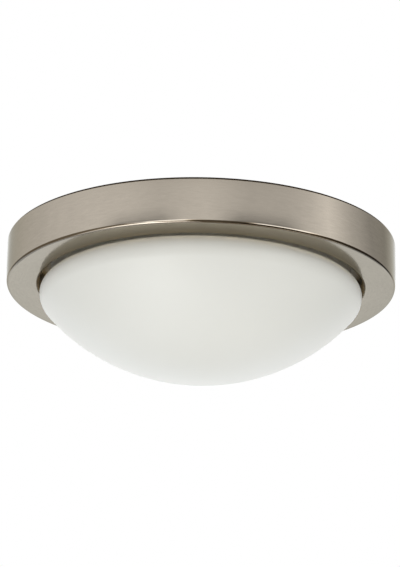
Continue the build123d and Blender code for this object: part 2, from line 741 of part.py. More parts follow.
# Gasket on the plate above the neck, and the opal glass shade
with BuildPart() as shade_gasket:
    with BuildSketch(Plane.XY.offset(plate_under)):
        Circle(neck_radius + GASKET_MARGIN)
        Circle(neck_inner - GASKET_MARGIN, mode=Mode.SUBTRACT)
    extrude(amount=-GASKET_THICKNESS)
with BuildPart() as glass_shade:
    with BuildSketch(Plane.XZ):
        with BuildLine():
            CenterArc((0, dome_z), dome_radius, -90, dome_angle)
            CenterArc((shoulder_x, shade_wide_z), SHADE_SHOULDER_RADIUS, dome_angle - 90, 90 - dome_angle)
            CenterArc((turn_x, shade_wide_z), SHADE_TURN_RADIUS, 0, SHADE_TURN_ANGLE)
            CenterArc(
                (neck_radius + SHADE_NECK_FILLET, neck_z),
                SHADE_NECK_FILLET,
                180 + SHADE_TURN_ANGLE,
                -SHADE_TURN_ANGLE,
            )
            Line((neck_radius, neck_z), (neck_radius, shade_top))
            offset(amount=SHADE_WALL, side=Side.LEFT)
        make_face()
    revolve(axis=Axis.Z)
    lip = glass_shade.edges().filter_by(GeomType.CIRCLE).group_by(Axis.Z)[-1]
    fillet(lip, SHADE_EDGE)

# Names of the pieces
pieces = {
    "drum_ring": drum_ring.part,
    "back_plate": back_plate.part,
    "plate_rivets": plate_rivets.part,
    "insulation_pad": insulation_pad.part,
    "mounting_strap": mounting_strap.part,
    "ground_screw": ground_screw.part,
    "mounting_screws": mounting_screws.part,
    "cap_nuts": cap_nuts.part,
    "inlet_bushing": inlet_bushing.part,
    "terminal_block": terminal_block.part,
    "terminal_screws": terminal_screws.part,
    "terminal_fixing_screw": terminal_fixing_screw.part,
    "earth_screw": earth_screw.part,
    "bracket_screws": bracket_screws.part,
    "holder_screws": holder_screws.part,
    "live_leads": live_leads.part,
    "neutral_leads": neutral_leads.part,
    "earth_lead": earth_lead.part,
    "spring_screws": spring_screws.part,
    "shade_gasket": shade_gasket.part,
    "glass_shade": glass_shade.part,
}
for number in range(1, SPRING_COUNT + 1):
    spring_angle = (number - 1) * 360 / SPRING_COUNT
    pieces[f"shade_spring_{number}"] = shade_spring.part.rotate(Axis.Z, spring_angle)
lamp_pieces = {
    "holder_bracket": holder_bracket.part,
    "lamp_holder": lamp_holder.part,
    "screw_shell": screw_shell.part,
    "centre_contact": centre_contact.part,
    "lamp_tip": lamp_tip.part,
    "lamp_insulator": lamp_insulator.part,
    "lamp_cap": lamp_cap.part,
    "lamp_globe": lamp_globe.part,
}
for name, piece in lamp_pieces.items():
    pieces[f"{name}_1"] = piece
    pieces[f"{name}_2"] = piece.rotate(Axis.Z, 180)

os.makedirs("parts", exist_ok=True)
for name, piece in pieces.items():
    piece.label = name
    export_step(piece, f"parts/{name}.step")
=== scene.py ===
"""Dresses the ceiling light: fine meshes, finishes, soft studio light and the photo's camera.

Lengths in the light's classes are millimetres in the shared frame, with +Z up and the ceiling at z = 0.
The studio's lengths are metres.
"""

import json
import logging
import math
from collections.abc import Callable, Sequence
from dataclasses import dataclass
from enum import Enum

import bmesh
import bpy
from mathutils import Matrix, Vector, noise

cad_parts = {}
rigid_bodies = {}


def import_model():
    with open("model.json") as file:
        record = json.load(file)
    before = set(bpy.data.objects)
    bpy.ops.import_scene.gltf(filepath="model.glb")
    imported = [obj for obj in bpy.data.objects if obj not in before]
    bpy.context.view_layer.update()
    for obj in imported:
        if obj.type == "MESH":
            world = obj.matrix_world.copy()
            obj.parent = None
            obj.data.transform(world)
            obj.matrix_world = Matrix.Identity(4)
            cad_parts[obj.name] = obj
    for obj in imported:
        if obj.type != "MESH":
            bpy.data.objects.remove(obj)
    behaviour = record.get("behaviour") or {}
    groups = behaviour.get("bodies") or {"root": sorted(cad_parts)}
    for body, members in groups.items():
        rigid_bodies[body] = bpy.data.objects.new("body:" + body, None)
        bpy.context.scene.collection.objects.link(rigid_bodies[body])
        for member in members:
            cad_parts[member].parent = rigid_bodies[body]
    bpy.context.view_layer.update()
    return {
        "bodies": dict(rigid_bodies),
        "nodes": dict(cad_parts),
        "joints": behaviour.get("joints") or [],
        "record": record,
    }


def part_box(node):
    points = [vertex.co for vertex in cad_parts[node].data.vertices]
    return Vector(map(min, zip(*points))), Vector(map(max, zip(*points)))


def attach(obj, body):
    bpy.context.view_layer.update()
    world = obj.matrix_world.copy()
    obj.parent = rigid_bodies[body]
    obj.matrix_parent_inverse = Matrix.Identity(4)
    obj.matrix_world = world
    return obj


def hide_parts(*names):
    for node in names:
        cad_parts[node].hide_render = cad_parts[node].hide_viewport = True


LOG = logging.getLogger("ceiling_light")
MM = 0.001
TINY = 1e-6  # a length that counts as none
WELD = 1e-7  # points of a new piece that are closer, in metres, become one
ON_WALL = 0.01  # how far from a turned wall a point may be and still count as on it
UP = Vector((0, 0, 1))
MIDDLE = Matrix.Identity(4)

Point = tuple[float, float]
Colour = tuple[float, float, float]
Shift = Callable[[float, float, float], Point]
Shape = bmesh.types.BMesh
Piece = bpy.types.Object
Socket = bpy.types.NodeSocket


class Body(Enum):
    """The bodies that pieces ride on."""

    HOUSING = "housing"
    SHADE = "shade"
    LAMP_1 = "lamp_1"
    LAMP_2 = "lamp_2"


class Grain(Enum):
    """How a finish's fine pattern runs over a surface."""

    AROUND = "lines around the light's axis"
    ALONG = "lines along the strap"
    FIBRE = "matted fibres"
    CLOUD = "fine even mottling"


class Recess(Enum):
    """The driver recess in a screw's head."""

    CROSS = "cross"
    SLOT = "slot"


class Facing(Enum):
    """Where a screw's head faces: its share of up, or 0 for away from the light's middle along X."""

    FLOOR = -1
    OUTWARD = 0
    CEILING = 1

    def direction(self, x: float) -> Vector:
        """The unit vector that a head faces on the side of the light that x is on."""
        return UP * self.value if self.value else Vector((math.copysign(1, x), 0, 0))


def arc(centre: Point, radius: float, start: float, sweep: float, steps: int) -> list[Point]:
    """Points along an arc, with both ends.

    Args:
        centre: Centre of the arc.
        radius: Radius of the arc.
        start: First angle in degrees.
        sweep: Signed angle that the arc turns through, in degrees.
        steps: Number of chords.

    Returns:
        The points in order.
    """
    angles = [math.radians(start + sweep * step / steps) for step in range(steps + 1)]
    return [(centre[0] + radius * math.cos(a), centre[1] + radius * math.sin(a)) for a in angles]


def rounded(points: Sequence[Point], radii: Sequence[float], steps: int) -> list[Point]:
    """A line through points whose inner corners are rounded.

    Args:
        points: Corners of the line, ends included.
        radii: One radius for each inner corner.
        steps: Chords in each rounded corner.

    Returns:
        The points of the rounded line.
    """
    path = [points[0]]
    for before, corner, after, radius in zip(points, points[1:], points[2:], radii):
        tip = Vector(corner)
        back = (Vector(before) - tip).normalized()
        ahead = (Vector(after) - tip).normalized()
        half = back.angle(ahead) / 2
        centre = tip + (back + ahead).normalized() * (radius / math.sin(half))
        reach = radius / math.tan(half)
        first = tip + back * reach - centre
        last = tip + ahead * reach - centre
        sweep = math.atan2(first.cross(last), first.dot(last))
        start = math.atan2(first.y, first.x)
        path += arc(tuple(centre), radius, math.degrees(start), math.degrees(sweep), steps)
    path.append(points[-1])
    return path


def thicken(path: Sequence[Point], amount: float) -> list[Point]:
    """The closed section of a sheet, made from one of its sides. A point on the axis stays on it.

    Args:
        path: One side of the sheet.
        amount: Thickness, to the left of the path, or to its right where it is negative.

    Returns:
        The path and the other side, in order round the section.
    """
    line = [Vector(path[0])]
    for point in path[1:]:
        if (Vector(point) - line[-1]).length > TINY:
            line.append(Vector(point))
    runs = [(after - before).normalized() for before, after in zip(line, line[1:])]
    other = []
    for point, arriving, leaving in zip(line, runs[:1] + runs, runs + runs[-1:]):
        across = Vector((-arriving.y - leaving.y, arriving.x + leaving.x)).normalized()
        share = across.dot(Vector((-arriving.y, arriving.x)))
        moved = point + across * (amount / share)
        other.append(Vector((moved.x if abs(point.x) > TINY else 0, moved.y)))
    return [tuple(point) for point in line + other[::-1]]


def spread(low: float, high: float, steps: int) -> list[float]:
    """Evenly spaced values from low to high, with both ends."""
    return [low + (high - low) * step / steps for step in range(steps + 1)]


def new_piece(name: str, shape: Shape, crease: float = 32.0) -> Piece:
    """Turns a shape into a smooth object in the scene.

    Args:
        name: Name of the piece.
        shape: Its faces, which are freed here.
        crease: Angle in degrees above which an edge stays sharp.

    Returns:
        The new object.
    """
    bmesh.ops.remove_doubles(shape, verts=shape.verts, dist=WELD)
    bmesh.ops.recalc_face_normals(shape, faces=shape.faces)
    mesh = bpy.data.meshes.new(name)
    shape.to_mesh(mesh)
    shape.free()
    mesh.shade_smooth()
    mesh.set_sharp_from_angle(angle=math.radians(crease))
    piece = bpy.data.objects.new(name, mesh)
    bpy.context.scene.collection.objects.link(piece)
    return piece


def turned(radius: float, height: float, angle: float) -> Vector:
    """The point at a radius and a height, turned round the axis by an angle."""
    return Vector((radius * math.cos(angle), radius * math.sin(angle), height))


def lathe(section: Sequence[Point], turns: int, place: Matrix = MIDDLE, shift: Shift | None = None,
          into: Shape | None = None) -> Shape:
    """Turns a closed section about an axis.

    Args:
        section: Radius and height of each point, in order round the section.
        turns: Number of steps round the axis.
        place: Where the axis lies, with its translation in metres.
        shift: Moves a radius and a height at an angle, such as for a thread.
        into: A shape that takes the new faces, or None for a new one.

    Returns:
        The turned shape.
    """
    shape = bmesh.new() if into is None else into
    rings = []
    for step in range(turns):
        angle = 2 * math.pi * step / turns
        ring = []
        for radius, height in section:
            if shift:
                radius, height = shift(radius, height, angle)
            ring.append(shape.verts.new(place @ (turned(radius, height, angle) * MM)))
        rings.append(ring)
    for ring, following in zip(rings, rings[1:] + rings[:1]):
        for low in range(len(section)):
            high = (low + 1) % len(section)
            shape.faces.new((ring[low], ring[high], following[high], following[low]))
    return shape


def axis_at(spot: Vector, direction: Vector) -> Matrix:
    """The frame at spot, in metres, whose local Z points along direction."""
    turn = UP.rotation_difference(direction).to_matrix().to_4x4()
    return Matrix.Translation(spot) @ turn


def solids_of(node: Piece) -> list[tuple[Vector, Vector]]:
    """The boxes of a node's separate solids.

    Args:
        node: A node of the frame.

    Returns:
        Lowest and highest corner of each solid, in metres, in a fixed order.
    """
    shape = bmesh.new()
    shape.from_mesh(node.data)
    bmesh.ops.remove_doubles(shape, verts=shape.verts, dist=TINY)
    waiting = set(shape.verts)
    boxes = []
    while waiting:
        group = []
        edge = [waiting.pop()]
        while edge:
            vertex = edge.pop()
            group.append(vertex.co.copy())
            near = [link.other_vert(vertex) for link in vertex.link_edges]
            edge += [other for other in near if other in waiting]
            waiting.difference_update(near)
        low = Vector([min(point[i] for point in group) for i in range(3)])
        high = Vector([max(point[i] for point in group) for i in range(3)])
        boxes.append((low, high))
    shape.free()
    return sorted(boxes, key=lambda pair: tuple(round(value, 5) for value in pair[0]))


def wave(angle: float) -> float:
    """A smooth wave that is 1 at angle 0 and 0 half a turn on."""
    return 0.5 + 0.5 * math.cos(angle)


def thread(radius: float, low: float, high: float, pitch: float, depth: float) -> Shift:
    """A shift that rolls a thread into a turned wall.

    Args:
        radius: Points at least this far from the axis are moved.
        low: Height where the thread starts.
        high: Height where it ends.
        pitch: Rise of one turn.
        depth: Depth from crest to root, negative to push the wall out.

    Returns:
        The shift for lathe.
    """
    run_out = pitch / 2

    def move(at: float, height: float, angle: float) -> Point:
        """Moves a point of the wall, less near the thread's ends."""
        fade = max(0.0, min(1.0, (height - low) / run_out, (high - height) / run_out))
        return at - (at >= radius) * depth * fade * wave(2 * math.pi * height / pitch - angle), height

    return move


class Tree:
    """A short way to write a node tree."""

    def __init__(self, tree: bpy.types.NodeTree) -> None:
        """Keeps the tree that nodes are added to."""
        self.tree = tree

    def add(self, kind: str, *sources: Socket | float | tuple, **settings: object) -> bpy.types.Node:
        """Adds a node.

        Args:
            kind: The node's type name, without its ShaderNode prefix.
            *sources: Sockets or constants for its first inputs.
            **settings: Properties of the node.

        Returns:
            The new node.
        """
        node = self.tree.nodes.new("ShaderNode" + kind)
        for name, value in settings.items():
            setattr(node, name, value)
        for socket, source in zip(node.inputs, sources):
            if isinstance(source, Socket):
                self.link(source, socket)
            else:
                socket.default_value = source
        return node

    def link(self, source: Socket, target: Socket) -> None:
        """Joins two sockets."""
        self.tree.links.new(source, target)

    @staticmethod
    def fill(node: bpy.types.Node, values: dict[str, object]) -> None:
        """Sets inputs of a node to constants, by their names."""
        for name, value in values.items():
            node.inputs[name].default_value = value

    def math(self, operation: str, *sources: Socket | float) -> Socket:
        """Adds a math node and gives its result."""
        return self.add("Math", *sources, operation=operation).outputs["Value"]

    def remap(self, value: Socket, span: Point, ends: Point, kind: str = "LINEAR") -> Socket:
        """Maps a span of values onto two ends, which hold beyond it."""
        return self.add("MapRange", value, *span, *ends, interpolation_type=kind).outputs["Result"]

    def blend(self, share: Socket | float, first: Socket | Colour, second: Colour) -> Socket:
        """Mixes two colours by the second one's share."""
        start = first if isinstance(first, Socket) else (*first, 1)
        return self.add("MixRGB", share, start, (*second, 1)).outputs["Color"]

    def mix(self, share: Socket, first: Socket, second: Socket) -> Socket:
        """Mixes two shaders by the second one's share."""
        return self.add("MixShader", share, first, second).outputs["Shader"]

    def rays(self, *kinds: str) -> Socket:
        """Tells some kinds of rays from the others.

        Args:
            *kinds: Names of the kinds, such as Camera.

        Returns:
            A socket that is 1 for these rays and 0 for others.
        """
        flags = self.add("LightPath").outputs
        found = flags[f"Is {kinds[0]} Ray"]
        for kind in kinds[1:]:
            found = self.math("MAXIMUM", found, flags[f"Is {kind} Ray"])
        return found

    def ramp(self, value: Socket, stops: Sequence[Point]) -> Socket:
        """Adds a grey ramp.

        Args:
            value: What the ramp reads, from 0 to 1.
            stops: Place and grey level of each stop.

        Returns:
            The ramp's colour.
        """
        node = self.add("ValToRGB", value)
        points = node.color_ramp.elements
        for place, _ in stops[2:]:
            points.new(place)
        for point, (place, grey) in zip(points, sorted(stops)):
            point.position = place
            point.color = (grey, grey, grey, 1)
        return node.outputs["Color"]


# What all finishes share: lengths in millimetres, scales per metre
SCATTER_REACH = 4.0
COAT_ROUGHNESS = 0.06
LEAST_ROUGHNESS = 0.02
BRUSH_TURN = 0.25
CLOUD_SCALE = 22.0
CLOUD_DETAIL = 2.0
CLOUD_SHARE = 0.35
GRAIN_DETAIL = 3.0
STROKES_AROUND = 20.0
STROKE_STRETCH = (0.03, 1.0, 1.0)
FIBRE_DETAIL = 8.0
FIBRE_TWIST = 2.5


@dataclass(frozen=True)
class Finish:
    """One finish: its colour, its gloss and the fine pattern that breaks them up."""

    slot: str
    colour: Colour
    roughness: float
    metallic: float = 0.0
    grain: Grain = Grain.CLOUD
    grain_size: float = 1.0
    tone: float = 0.06
    rough_spread: float = 0.08
    relief: float = 0.01
    anisotropy: float = 0.0
    subsurface: float = 0.0
    coat: float = 0.0
    sheen: float = 0.0
    edge: Colour = (1.0, 1.0, 1.0)

    def material(self) -> bpy.types.Material:
        """Makes the finish's material once.

        Returns:
            The material, which all pieces in this finish share.
        """
        name = "finish_" + self.slot
        known = bpy.data.materials.get(name)
        if known:
            return known
        material = bpy.data.materials.new(name)
        material.use_nodes = True
        tree = Tree(material.node_tree)
        shader = material.node_tree.nodes["Principled BSDF"]
        tree.fill(shader, {
            "Metallic": self.metallic,
            "Anisotropic": self.anisotropy,
            "Subsurface Weight": self.subsurface,
            "Subsurface Radius": (1, 1, 1),
            "Subsurface Scale": SCATTER_REACH * MM,
            "Coat Weight": self.coat,
            "Coat Roughness": COAT_ROUGHNESS,
            "Sheen Weight": self.sheen,
            "Specular Tint": (*self.edge, 1),
        })
        place = tree.add("TexCoord").outputs["Object"]
        pattern = self._pattern(tree, place)
        tree.link(self._colour(tree, place, pattern), shader.inputs["Base Color"])
        smoothest = max(LEAST_ROUGHNESS, self.roughness - self.rough_spread)
        roughest = min(1.0, self.roughness + self.rough_spread)
        tree.link(tree.remap(pattern, (0.0, 1.0), (smoothest, roughest)), shader.inputs["Roughness"])
        bump = tree.add("Bump")
        bump.inputs["Distance"].default_value = self.relief * MM
        tree.link(pattern, bump.inputs["Height"])
        tree.link(bump.outputs["Normal"], shader.inputs["Normal"])
        if self.anisotropy:
            tangent = tree.add("Tangent", direction_type="RADIAL", axis="Z")
            tree.link(tangent.outputs["Tangent"], shader.inputs["Tangent"])
            shader.inputs["Anisotropic Rotation"].default_value = BRUSH_TURN
        return material

    def _colour(self, tree: Tree, place: Socket, pattern: Socket) -> Socket:
        """Spreads the colour a little to both sides along the pattern and a broad cloud.

        Args:
            tree: The material's tree.
            place: The point of the surface in the piece's own frame.
            pattern: The fine pattern.

        Returns:
            The colour's socket.
        """
        cloud = tree.add("TexNoise", place)
        tree.fill(cloud, {"Scale": CLOUD_SCALE, "Detail": CLOUD_DETAIL})
        broad = tree.math("MULTIPLY", cloud.outputs["Fac"], CLOUD_SHARE)
        mixed = tree.math("MULTIPLY_ADD", pattern, 1 - CLOUD_SHARE, broad)
        dark = tuple(c * (1 - self.tone) for c in self.colour)
        pale = tuple(min(1.0, c * (1 + self.tone)) for c in self.colour)
        return tree.blend(mixed, dark, pale)

    @staticmethod
    def _around(tree: Tree, place: Socket, fine: float) -> Socket:
        """Stretches a point along circles round the light's axis.

        Args:
            tree: The material's tree.
            place: The point.
            fine: Number of lines in a metre across the strokes.

        Returns:
            The stretched point.
        """
        parts = tree.add("SeparateXYZ", place).outputs
        flat = tree.add("CombineXYZ", parts["X"], parts["Y"]).outputs["Vector"]
        reach = tree.add("VectorMath", flat, operation="LENGTH").outputs["Value"]
        bearing = tree.add("VectorMath", flat, operation="NORMALIZE").outputs["Vector"]
        strokes = tree.add("VectorMath", bearing, operation="SCALE")
        strokes.inputs["Scale"].default_value = STROKES_AROUND
        across = tree.math("MULTIPLY", tree.math("ADD", parts["Z"], reach), fine)
        lift = tree.add("CombineXYZ", 0.0, 0.0, across).outputs["Vector"]
        return tree.add("VectorMath", strokes.outputs["Vector"], lift, operation="ADD").outputs["Vector"]

    def _pattern(self, tree: Tree, place: Socket) -> Socket:
        """Makes the fine pattern as one value from 0 to 1.

        Args:
            tree: The material's tree.
            place: The point of the surface in the piece's own frame.

        Returns:
            The pattern's socket.
        """
        scale = fine = 1 / (self.grain_size * MM)
        if self.grain is Grain.AROUND:
            place = self._around(tree, place, fine)
            scale = 1.0
        elif self.grain is Grain.ALONG:
            stretch = tree.add("Mapping", place)
            stretch.inputs["Scale"].default_value = STROKE_STRETCH
            place = stretch.outputs["Vector"]
        texture = tree.add("TexNoise", place)
        tree.fill(texture, {"Detail": GRAIN_DETAIL, "Scale": scale})
        if self.grain is Grain.FIBRE:
            tree.fill(texture, {"Detail": FIBRE_DETAIL, "Distortion": FIBRE_TWIST})
        return texture.outputs["Fac"]


NICKEL = Finish(
    "nickel", (0.418, 0.374, 0.314), 0.11, 1.0, Grain.AROUND, 1.6, 0.15, 0.04, 0.007, anisotropy=0.4,
    edge=(0.52, 0.52, 0.485),
)
# Duller, unpolished nickel for the collar and the flange. Its brown tint is painted shade that stands for
# the brown shade in the gap round the glass.
DULL_NICKEL_AND_PAINTED_SHADE = Finish("dull_nickel", (0.52, 0.42, 0.275), 0.55, 1.0, grain_size=0.8, tone=0.10, relief=0.004)
OPAL = Finish(
    "opal_glass", (0.793, 0.810, 0.792), 0.40, grain_size=0.6, tone=0.01, rough_spread=0.05,
    relief=0.004, subsurface=0.3,
)
ENAMEL = Finish("white_enamel", (0.82, 0.82, 0.80), 0.32, grain_size=1.6, tone=0.02, relief=0.02, coat=0.2)
FELT = Finish(
    "insulation", (0.70, 0.63, 0.44), 0.92, grain=Grain.FIBRE, grain_size=1.5, tone=0.22, relief=0.5,
    sheen=0.3,
)
ZINC = Finish("zinc_steel", (0.62, 0.63, 0.65), 0.30, 1.0, Grain.ALONG, 0.8, 0.08, 0.10, 0.006)
SPRING = Finish("spring_steel", (0.40, 0.40, 0.42), 0.24, 1.0, Grain.ALONG, 0.5, 0.10, 0.08, 0.004)
GREEN_STEEL = Finish("green_steel", (0.03, 0.26, 0.09), 0.34, 0.6, grain_size=0.5, tone=0.15, relief=0.006)
BLACK_NYLON = Finish("black_nylon", (0.025, 0.025, 0.026), 0.48, grain_size=0.5, tone=0.15, relief=0.02)
WHITE_NYLON = Finish(
    "white_nylon", (0.80, 0.79, 0.74), 0.45, grain_size=0.5, tone=0.04, relief=0.02, subsurface=0.1,
)
BRASS = Finish("brass", (0.74, 0.54, 0.22), 0.28, 1.0, grain_size=1.2, tone=0.08, relief=0.004)
PORCELAIN = Finish(
    "porcelain", (0.84, 0.83, 0.79), 0.16, grain_size=4.0, tone=0.03, rough_spread=0.05, relief=0.02,
    coat=0.6, subsurface=0.05,
)
SILICONE = Finish("silicone", (0.72, 0.72, 0.70), 0.62, grain_size=0.8, tone=0.05, relief=0.03)
BLACK_WIRE = Finish("black_wire", (0.02, 0.02, 0.021), 0.42, grain_size=0.6, tone=0.15, relief=0.01)
WHITE_WIRE = Finish("white_wire", (0.80, 0.80, 0.78), 0.40, grain_size=0.6, tone=0.05, relief=0.01)
GREEN_WIRE = Finish("green_wire", (0.04, 0.30, 0.08), 0.42, grain_size=0.6, tone=0.10, relief=0.01)
LAMP_GLASS = Finish(
    "lamp_glass", (0.86, 0.855, 0.82), 0.30, grain_size=0.5, tone=0.015, rough_spread=0.06,
    relief=0.003, subsurface=0.1,
)
LAMP_METAL = Finish("lamp_aluminium", (0.74, 0.74, 0.75), 0.30, 1.0, grain_size=1.0, tone=0.07, relief=0.004)
BLACK_GLASS = Finish("black_glass", (0.012, 0.012, 0.016), 0.12, grain_size=3.0, tone=0.2, rough_spread=0.04)
SOLDER = Finish("solder", (0.56, 0.56, 0.55), 0.36, 1.0, grain_size=0.9, tone=0.10, relief=0.03)


@dataclass
class Light:
    """What every sub-assembly shares: the loaded frame."""

    nodes: dict[str, Piece]

    def paint(self, finish: Finish, *names: str) -> None:
        """Gives nodes that keep their own shape a finish.

        Args:
            finish: The finish.
            *names: Names of the nodes.
        """
        for name in names:
            node = self.nodes[name]
            if not node.material_slots:
                node.data.materials.append(None)
            for slot in node.material_slots:
                slot.material = finish.material()
            LOG.info("%s keeps its shape in %s", name, finish.slot)

    def place(self, piece: Piece, body: Body, finish: Finish, *names: str) -> Piece:
        """Dresses a new piece and puts it in the place of nodes.

        Args:
            piece: The new piece.
            body: The body that it rides on.
            finish: Its finish.
            *names: Nodes that it stands for.

        Returns:
            The piece.
        """
        piece.data.materials.clear()
        piece.data.materials.append(finish.material())
        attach(piece, body.value)
        if names:
            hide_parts(*names)
        LOG.info("%s rides on %s in %s", piece.name, body.value, finish.slot)
        return piece


@dataclass
class Drum(Light):
    """The rolled drum ring and its rivets.

    The wall's lowest part leans in a little, which steers what it mirrors.
    """

    radius: float = 165.0
    height: float = 38.6
    sheet: float = 1.0
    ring_width: float = 27.6
    edge_radius: float = 2.3
    lip_radius: float = 3.2
    dull_lip: float = 0.9
    lean_height: float = 10.0
    lean_angle: float = 3.0
    lean_bend: float = 6.25
    collar_height: float = 12.0
    rim_width: float = 5.0
    rim_radius: float = 1.6
    crown_radius: float = 2.2
    flange_drop: float = 3.0
    flange_width: float = 12.0
    flange_bend: float = 1.0
    corner_steps: int = 10
    turns: int = 360

    def section(self) -> list[Point]:
        """Draws the sheet's section from the top flange to the collar's edge.

        Returns:
            The section's points in order.
        """
        flange = self.radius - self.rim_width
        opening = self.radius - self.ring_width
        lean = self.lean_height * math.tan(math.radians(self.lean_angle))
        soft_turn = self.lean_bend / math.tan(math.radians(self.lean_angle / 2))
        corners = [
            (flange - self.flange_width, -self.flange_drop),
            (flange, -self.flange_drop),
            (flange, 0),
            (self.radius, 0),
            (self.radius, self.lean_height - self.height),
            (self.radius - lean, -self.height),
            (opening, -self.height),
            (opening, self.collar_height - self.height),
        ]
        radii = [
            self.flange_bend, self.rim_radius, self.crown_radius,
            soft_turn, self.edge_radius, self.lip_radius,
        ]
        return thicken(rounded(corners, radii, self.corner_steps), -self.sheet)

    def unbrushed_and_shade_tinted(self, reach: float, z: float) -> bool:
        """Whether a face takes the dull nickel, whose brown tint is painted shade: on the collar in the
        opening, or on the flange at the ceiling.

        Args:
            reach: How far the face is from the axis, in millimetres.
            z: Its height, in millimetres.

        Returns:
            True for a dull face.
        """
        collar = reach < self.radius - self.ring_width + self.dull_lip and z < -self.height / 2
        flange = reach < self.radius - self.crown_radius and z > -self.height / 2
        return collar or flange

    def build(self) -> None:
        """Makes the ring and dresses the rivets."""
        shape = lathe(self.section(), self.turns)
        shell = self.place(new_piece("drum_shell", shape), Body.HOUSING, NICKEL, "drum_ring")
        # The collar and the flange take the dull nickel, whose brown tint is painted shade.
        shell.data.materials.append(DULL_NICKEL_AND_PAINTED_SHADE.material())
        for face in shell.data.polygons:
            reach = Vector(face.center.xy).length / MM
            face.material_index = int(self.unbrushed_and_shade_tinted(reach, face.center.z / MM))
        self.paint(NICKEL, "plate_rivets")


@dataclass
class Shade(Light):
    """The opal glass bowl and the gasket above its neck."""

    radius: float = 136.5
    wide_z: float = -45.2
    bottom_z: float = -115.1
    top_z: float = -15.2
    shoulder_radius: float = 16.0
    turn_radius: float = 9.0
    turn_angle: float = 60.0
    neck_fillet: float = 9.0
    wall: float = 3.5
    lip: float = 1.2
    gasket_thickness: float = 2.0
    gasket_margin: float = 1.0
    gasket_gap: float = 0.2
    gasket_round: float = 0.6
    dome_steps: int = 40
    shoulder_steps: int = 12
    neck_steps: int = 10
    edge_steps: int = 5
    crease: float = 60.0
    turns: int = 320

    def neck_radius(self) -> float:
        """Outer radius of the neck."""
        turn = math.cos(math.radians(self.turn_angle))
        return self.radius - self.turn_radius * (1 - turn) - self.neck_fillet * (1 - turn)

    def section(self) -> list[Point]:
        """Draws the glass wall's section from the bowl's middle to the neck's lip.

        Returns:
            The section's points in order.
        """
        shoulder = self.radius - self.shoulder_radius
        rise = self.wide_z - self.bottom_z
        dome = (shoulder**2 + rise**2 - self.shoulder_radius**2) / (2 * (rise - self.shoulder_radius))
        dome_z = self.bottom_z + dome
        angle = math.degrees(math.atan2(shoulder, dome_z - self.wide_z))
        turn = self.turn_angle
        turn_x = self.radius - self.turn_radius
        neck = self.neck_radius()
        neck_z = self.wide_z + (self.turn_radius + self.neck_fillet) * math.sin(math.radians(turn))
        path = arc((0, dome_z), dome, -90, angle, self.dome_steps)
        bend = self.shoulder_radius
        path += arc((shoulder, self.wide_z), bend, angle - 90, 90 - angle, self.shoulder_steps)
        path += arc((turn_x, self.wide_z), self.turn_radius, 0, turn, self.neck_steps)
        path += arc((neck + self.neck_fillet, neck_z), self.neck_fillet, 180 + turn, -turn, self.neck_steps)
        path += [(neck, self.top_z - self.lip)]
        loop = thicken(path, self.wall)
        half = len(loop) // 2
        inner = neck - self.wall
        lip = arc((neck - self.lip, self.top_z - self.lip), self.lip, 0, 90, self.edge_steps)
        lip += arc((inner + self.lip, self.top_z - self.lip), self.lip, 90, 90, self.edge_steps)
        return loop[:half] + lip[1:-1] + loop[half:]

    def gasket_section(self) -> list[Point]:
        """Draws the soft ring's section, with rounded edges.

        Returns:
            The section's points in order.
        """
        outer = self.neck_radius() + self.gasket_margin
        inner = self.neck_radius() - self.wall - self.gasket_margin
        top = self.top_z + self.gasket_thickness + self.gasket_gap
        low = top - self.gasket_thickness
        middle = ((outer + inner) / 2, low)
        corners = [middle, (outer, low), (outer, top), (inner, top), (inner, low), middle]
        return rounded(corners, [self.gasket_round] * 4, self.edge_steps)[:-1]

    def build(self) -> None:
        """Makes the bowl and the gasket."""
        bowl = new_piece("opal_bowl", lathe(self.section(), self.turns), self.crease)
        self.place(bowl, Body.SHADE, OPAL, "glass_shade")
        ring = new_piece("neck_gasket", lathe(self.gasket_section(), self.turns // 2), self.crease)
        self.place(ring, Body.HOUSING, SILICONE, "shade_gasket")


